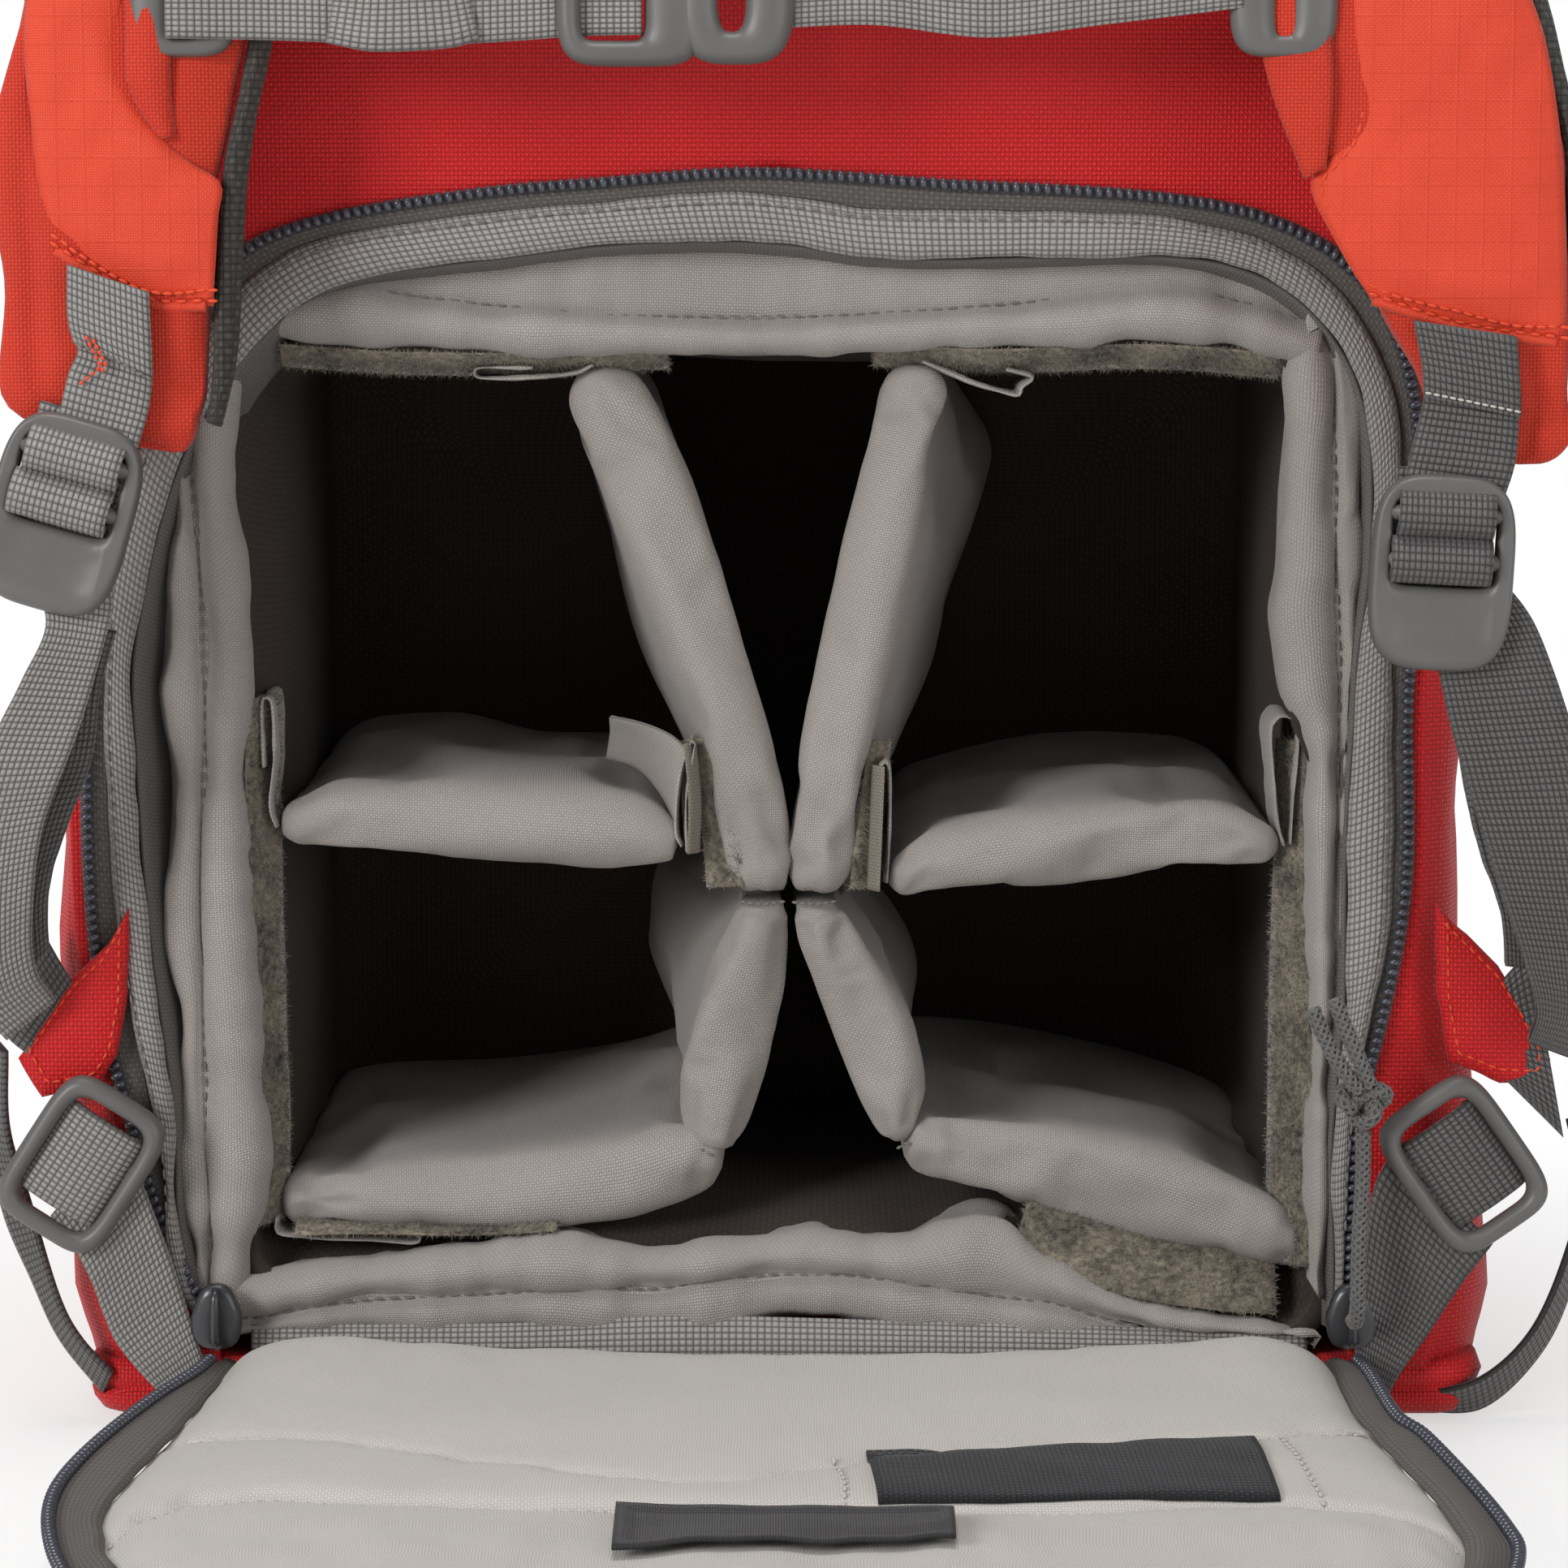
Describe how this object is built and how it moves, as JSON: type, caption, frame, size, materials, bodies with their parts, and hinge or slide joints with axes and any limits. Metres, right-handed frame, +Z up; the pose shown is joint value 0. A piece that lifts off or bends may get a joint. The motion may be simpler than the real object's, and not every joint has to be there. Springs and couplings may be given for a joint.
{
  "type": "camera backpack",
  "caption": "Camera backpack with a padded, divided camera compartment that opens on the harness side through a fold-down zipped door",
  "frame": {"origin": "centre of the flat base, on its underside", "axes": "+Z up, -Y out of the harness side, where the camera door opens, +X to the right as one looks at the harness side"},
  "size_m": [0.3332, 0.4307, 0.4603],
  "materials": {
    "shell_fabric": "orange-red 600 denier polyester, matte",
    "strap_fabric": "orange ripstop over foam",
    "insert_fabric": "dark brushed lining over foam",
    "divider_fabric": "warm grey nylon over foam",
    "hook_and_loop": "brown-grey hook-and-loop pile",
    "door_fabric": "pale grey lining over foam",
    "zip_coil": "dark polyester coil on woven tape",
    "webbing": "grey woven webbing",
    "cord": "grey braided cord",
    "slider_metal": "black coated zinc",
    "frame_plastic": "black polyethylene sheet",
    "buckle_plastic": "grey moulded acetal, fine texture"
  },
  "bodies": {
    "root": {"back_upper_panel": "shell_fabric", "base_foam": "insert_fabric", "base_panel": "shell_fabric", "body_zips": "zip_coil", "compartment_floor": "insert_fabric", "frame_sheet": "frame_plastic", "front_panel": "shell_fabric", "front_pocket": "shell_fabric", "grab_handle": "webbing", "harness_yoke": "shell_fabric", "insert_back_pad": "insert_fabric", "insert_bottom_pad": "divider_fabric", "insert_left_pad": "insert_fabric", "insert_right_pad": "insert_fabric", "insert_top_pad": "divider_fabric", "left_adjuster_webbing": "webbing", "left_belt_webbing": "webbing", "left_divider_foot": "divider_fabric", "left_divider_lower": "divider_fabric", "left_divider_upper": "divider_fabric", "left_gusset": "shell_fabric", "left_side_panel": "shell_fabric", "loop_strips": "hook_and_loop", "opening_binding": "webbing", "opening_zip": "zip_coil", "right_adjuster_webbing": "webbing", "right_belt_webbing": "webbing", "right_divider_foot": "divider_fabric", "right_divider_lower": "divider_fabric", "right_divider_upper": "divider_fabric", "right_gusset": "shell_fabric", "right_side_panel": "shell_fabric", "sill_panel": "shell_fabric", "sternum_socket": "buckle_plastic", "sternum_webbing_left": "webbing", "sternum_webbing_right": "webbing"},
    "door": {"door_panel": "door_fabric", "door_back_pad": "door_fabric", "door_zip": "zip_coil", "door_pocket": "door_fabric"},
    "left_slider": {"left_zip_slider": "slider_metal"},
    "right_slider": {"right_zip_slider": "slider_metal", "right_pull_cord": "cord", "right_pull_knot": "cord"},
    "left_strap": {"left_shoulder_strap": "strap_fabric", "left_hanger_webbing": "webbing", "left_rail_slider": "buckle_plastic"},
    "right_strap": {"right_shoulder_strap": "strap_fabric", "right_hanger_webbing": "webbing", "right_rail_slider": "buckle_plastic"},
    "left_lock": {"left_ladder_lock": "buckle_plastic"},
    "right_lock": {"right_ladder_lock": "buckle_plastic"},
    "left_ring": {"left_belt_ring": "buckle_plastic"},
    "right_ring": {"right_belt_ring": "buckle_plastic"},
    "plug": {"sternum_plug": "buckle_plastic"},
    "left_shelf_body": {"left_shelf": "divider_fabric"},
    "right_shelf_body": {"right_shelf": "divider_fabric"},
    "lid": {"top_lid": "shell_fabric"},
    "lid_slider_body": {"lid_slider": "slider_metal"},
    "pocket_slider_body": {"pocket_slider": "slider_metal"}
  },
  "joints": [
    {"name": "door_hinge", "type": "hinge", "parent": "root", "child": "door", "pos_m": [0, -0.0803, 0.017], "axis": [-1, 0, 0], "range_deg": [0, 90], "deforming": ["right_pull_cord", "right_pull_knot"]},
    {"name": "left_strap_swing", "type": "hinge", "parent": "root", "child": "left_strap", "pos_m": [-0.062, -0.09, 0.425], "axis": [0, 1, 0], "range_deg": [0, 7], "deforming": ["left_adjuster_webbing", "sternum_webbing_left"]},
    {"name": "right_strap_swing", "type": "hinge", "parent": "root", "child": "right_strap", "pos_m": [0.062, -0.09, 0.425], "axis": [0, -1, 0], "range_deg": [0, 7], "deforming": ["right_adjuster_webbing", "sternum_webbing_right"]},
    {"name": "left_lock_tilt", "type": "hinge", "parent": "left_strap", "child": "left_lock", "pos_m": [-0.13987, -0.1164, 0.20346], "axis": [-0.9613, 0, 0.2756], "range_deg": [0, 25], "deforming": ["left_hanger_webbing", "left_adjuster_webbing"]},
    {"name": "right_lock_tilt", "type": "hinge", "parent": "right_strap", "child": "right_lock", "pos_m": [0.13064, -0.1164, 0.19221], "axis": [-0.9986, 0, 0.0523], "range_deg": [0, 25], "deforming": ["right_hanger_webbing", "right_adjuster_webbing"]},
    {"name": "left_ring_tilt", "type": "hinge", "parent": "root", "child": "left_ring", "pos_m": [-0.13019, -0.0901, 0.05328], "axis": [0.5446, 0, 0.8387], "range_deg": [0, 30]},
    {"name": "right_ring_tilt", "type": "hinge", "parent": "root", "child": "right_ring", "pos_m": [0.1304, -0.0901, 0.05298], "axis": [0.5736, 0, -0.8192], "range_deg": [0, 30]},
    {"name": "left_zip_slide", "type": "slide", "parent": "root", "child": "left_slider", "axis": [0, 0, -1], "range_m": [-0.024, 0]},
    {"name": "right_zip_slide", "type": "slide", "parent": "root", "child": "right_slider", "axis": [0, 0, -1], "range_m": [-0.024, 0]},
    {"name": "sternum_release", "type": "slide", "parent": "root", "child": "plug", "axis": [-1, 0, 0], "range_m": [0, 0.02], "deforming": ["sternum_webbing_left"]},
    {"name": "left_shelf_slide", "type": "slide", "parent": "root", "child": "left_shelf_body", "axis": [0, 1, 0], "range_m": [-0.12, 0]},
    {"name": "right_shelf_slide", "type": "slide", "parent": "root", "child": "right_shelf_body", "axis": [0, 1, 0], "range_m": [-0.12, 0]},
    {"name": "lid_hinge", "type": "hinge", "parent": "root", "child": "lid", "pos_m": [0, -0.08, 0.43215], "axis": [1, 0, 0], "range_deg": [0, 80]},
    {"name": "lid_zip_slide", "type": "slide", "parent": "root", "child": "lid_slider_body", "axis": [1, 0, 0], "range_m": [-0.14, 0]},
    {"name": "pocket_zip_slide", "type": "slide", "parent": "root", "child": "pocket_slider_body", "axis": [1, 0, 0], "range_m": [-0.15, 0]}
  ],
  "couplings": [
    {"joint": "left_strap_swing", "follows": "door_hinge", "ratio": 0.077778},
    {"joint": "right_strap_swing", "follows": "door_hinge", "ratio": 0.077778}
  ]
}
